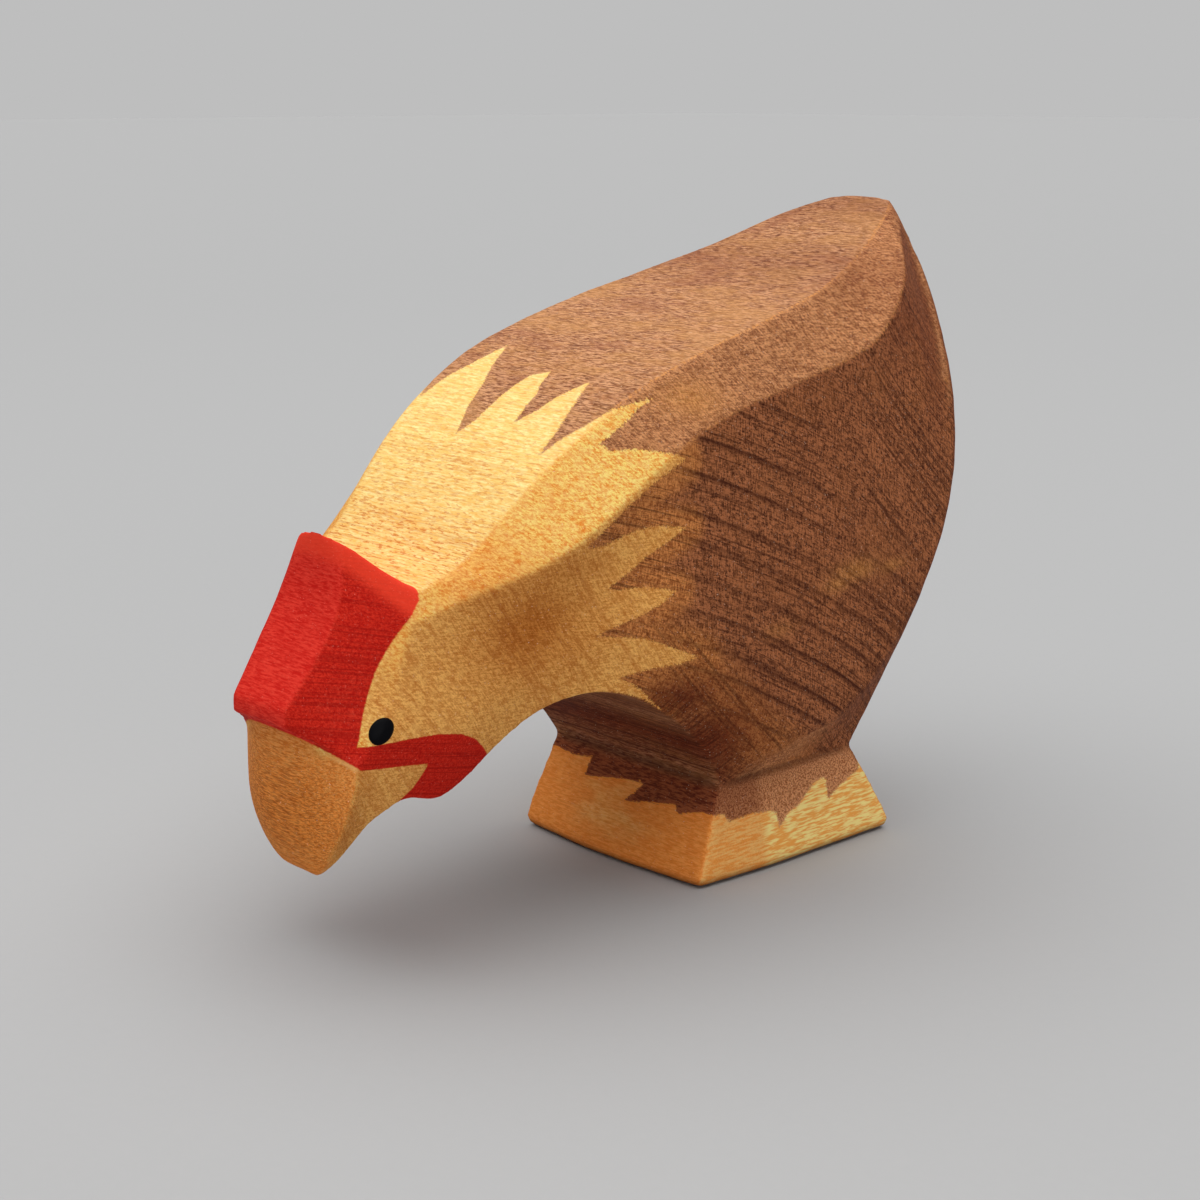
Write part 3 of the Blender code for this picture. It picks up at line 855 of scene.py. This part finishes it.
def stained_wood():
    """Pale hardwood under water stains, with fibres along X, and painted shade and highlights."""
    paint = Paint("stained_wood")
    grain = wood_grain(paint)
    bare = bare_wood(paint, grain)
    brown = brown_stain(paint, grain)
    red = red_stain(paint, grain)

    jitter = paint.math("SUBTRACT", grain["fibres"], 0.5)
    ragged = paint.math("MULTIPLY", jitter, 0.7)
    feathers = paint.step(paint.math("ADD", paint.attribute("feathers"), ragged), -0.06, 0.06)
    foot = paint.step(paint.math("ADD", paint.attribute("foot_stain"), ragged), -0.06, 0.06)
    wood = paint.mix(paint.math("MULTIPLY", feathers, foot), bare, brown)
    crisp = paint.math("MULTIPLY", jitter, 0.15)
    masked = paint.step(paint.math("ADD", paint.attribute("red"), crisp), -0.05, 0.05)
    # Painted glints: small pale specks of light on the wood and on the red
    painted_glints = paint.times(paint.step(grain["specks"], 0.71, 0.79), 0.5)
    wood = paint.mix(painted_glints, wood, linear(255, 232, 206))
    wood = paint.mix(masked, wood, paint.mix(paint.times(painted_glints, 0.4), red, linear(255, 200, 180)))

    paint.set(paint.shader.inputs["Base Color"], wood)
    paint.set(paint.shader.inputs["Roughness"], paint.math("MULTIPLY_ADD", grain["fibres"], 0.2, 0.6))
    paint.shader.inputs["Specular IOR Level"].default_value = 0.06
    bump = paint.node("ShaderNodeBump")
    bump.inputs["Strength"].default_value = 0.35
    bump.inputs["Distance"].default_value = grain_depth * MM
    paint.set(bump.inputs["Height"], paint.math("ADD", grain["fibres"], grain["dashes"]))
    paint.set(paint.shader.inputs["Normal"], bump.outputs[0])
    return paint.material


def black_paint():
    """Thick black paint, a little uneven, with a soft shine."""
    paint = Paint("black_paint")
    grain = paint.noise(paint.mm(), 3.0, 3.0)
    paint.set(paint.shader.inputs["Base Color"], paint.mix(grain, linear(3, 3, 5), linear(10, 10, 14)))
    paint.set(paint.shader.inputs["Roughness"], paint.math("MULTIPLY_ADD", grain, 0.2, 0.4))
    paint.shader.inputs["Specular IOR Level"].default_value = 0.05
    return paint.material


def floor_paper():
    """Plain grey paper, whose tone turns to the backdrop's in the distance."""
    paint = Paint("paper")
    mm = paint.mm()
    away = paint.node("ShaderNodeVectorMath", (mm,), operation="LENGTH").outputs["Value"]
    near = (floor_tone,) * 3 + (1.0,)
    far = (far_tone * floor_tone / floor_lit,) * 3 + (1.0,)
    tone = paint.mix(paint.step(away, *floor_fade), near, far)
    fleck = paint.math("MULTIPLY_ADD", paint.noise(mm, 1.2, 3.0, 0.7), 0.03, 0.985)
    shade = paint.node("ShaderNodeCombineXYZ", (fleck, fleck, fleck)).outputs[0]
    paint.set(paint.shader.inputs["Base Color"], paint.mix(1.0, tone, shade, "MULTIPLY"))
    paint.shader.inputs["Roughness"].default_value = 0.9
    paint.shader.inputs["Specular IOR Level"].default_value = 0.1
    return paint.material


def make_hen():
    """The wooden hen in place of the plain block."""
    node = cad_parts["carved_hen"]
    mesh = fine_wood(node)
    carve(mesh)
    draw_on(mesh, node)
    mesh.shade_smooth()
    mesh.materials.clear()
    mesh.materials.append(stained_wood())
    mesh.name = "wooden_hen"
    hen = link(bpy.data.objects.new("wooden_hen", mesh))
    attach(hen, "root")
    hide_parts("carved_hen")
    return hen


def eye_mesh(tree, side):
    """A drop that follows the cheek, on the hen's left for side 1, as a closed shell."""
    start = Vector((side * outside, *eye_place)) * MM
    middle, outward, _, _ = tree.ray_cast(start, Vector((-side, 0, 0)))
    lean = math.radians(eye_lean)
    upright = Vector((0, math.sin(lean), math.cos(lean)))
    along = (upright - outward * upright.dot(outward)).normalized()
    across = outward.cross(along)

    def wood_under(share, turn):
        place = along * (math.cos(turn) * share * eye_length / 2)
        place += across * (math.sin(turn) * share * eye_breadth / 2)
        return tree.ray_cast(middle + (place + outward * eye_length) * MM, -outward)[0]

    shape = bmesh.new()
    rows = [[shape.verts.new(middle + outward * (eye_height * MM))]]
    turns = [2 * math.pi * step / eye_spokes for step in range(eye_spokes)]
    for ring in range(1, eye_rings + 1):
        share = math.sin(ring / eye_rings * math.pi / 2)
        swell = math.sqrt(max(0.0, 1 - share ** eye_fullness))
        height = (eye_height * swell - eye_sink) * MM
        rows.append([shape.verts.new(wood_under(share, turn) + outward * height) for turn in turns])
    rows.append([shape.verts.new(middle - outward * (eye_root * MM))])
    for upper, lower in zip(rows[:-1], rows[1:]):
        for step in range(eye_spokes):
            following = (step + 1) % eye_spokes
            corners = [upper[step % len(upper)], upper[following % len(upper)]]
            corners += [lower[following % len(lower)], lower[step % len(lower)]]
            shape.faces.new(list(dict.fromkeys(corners)))
    bmesh.ops.recalc_face_normals(shape, faces=shape.faces)
    mesh = bpy.data.meshes.new("eye")
    shape.to_mesh(mesh)
    shape.free()
    mesh.shade_smooth()
    return mesh


def make_eyes(hen):
    """Both painted eyes, each in place of its plain drop."""
    material = black_paint()
    tree = BVHTree.FromObject(hen, bpy.context.evaluated_depsgraph_get())
    for name, side in (("left_eye", 1), ("right_eye", -1)):
        mesh = eye_mesh(tree, side)
        mesh.materials.append(material)
        eye = link(bpy.data.objects.new("painted_" + name, mesh))
        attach(eye, "root")
        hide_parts(name)


def make_floor():
    mesh = bpy.data.meshes.new("floor")
    signs = ((-1, -1), (1, -1), (1, 1), (-1, 1))
    corners = [(x * floor_half, y * floor_half, 0) for x, y in signs]
    mesh.from_pydata(corners, [], [(0, 1, 2, 3)])
    mesh.materials.append(floor_paper())
    link(bpy.data.objects.new("floor", mesh))


def make_light():
    """The softboxes, and a backdrop that only the camera, mirrors and glass see as bright."""
    for name, (strength, spread, direction) in softboxes.items():
        sun = bpy.data.lights.new(name, "SUN")
        sun.energy = strength
        sun.angle = math.radians(spread)
        lamp = link(bpy.data.objects.new(name, sun))
        lamp.rotation_euler = Vector(direction).to_track_quat("Z", "Y").to_euler()
    world = bpy.data.worlds.new("studio")
    bpy.context.scene.world = world
    world.use_nodes = True
    nodes, links = world.node_tree.nodes, world.node_tree.links
    path = nodes.new("ShaderNodeLightPath")
    seen = path.outputs["Is Camera Ray"]
    for ray in ("Is Glossy Ray", "Is Transmission Ray"):
        either = nodes.new("ShaderNodeMath")
        either.operation = "MAXIMUM"
        links.new(seen, either.inputs[0])
        links.new(path.outputs[ray], either.inputs[1])
        seen = either.outputs[0]
    brightness = nodes.new("ShaderNodeMix")
    brightness.inputs[2].default_value = fill_strength
    brightness.inputs[3].default_value = far_tone
    links.new(seen, brightness.inputs[0])
    links.new(brightness.outputs[0], nodes["Background"].inputs["Strength"])
    nodes["Background"].inputs["Color"].default_value = (1, 1, 1, 1)


def make_camera():
    """The photograph's camera, level from side to side."""
    azimuth, elevation = math.radians(camera_azimuth), math.radians(camera_elevation)
    right = Vector((math.cos(azimuth), math.sin(azimuth), 0))
    level = Vector((-math.sin(azimuth), math.cos(azimuth), 0))
    ahead = level * math.cos(elevation) - Vector((0, 0, math.sin(elevation)))
    up = right.cross(ahead)
    data = bpy.data.cameras.new("camera")
    data.lens = camera_lens
    data.sensor_width = camera_sensor
    data.clip_start = 0.01
    data.clip_end = 20.0
    camera = link(bpy.data.objects.new("camera", data))
    turn = Matrix((right, up, -ahead)).transposed().to_4x4()
    camera.matrix_world = Matrix.Translation(Vector(camera_place) * MM) @ turn
    bpy.context.scene.camera = camera


make_camera()
make_floor()
make_light()
make_eyes(make_hen())
bpy.context.scene.view_settings.view_transform = "Standard"
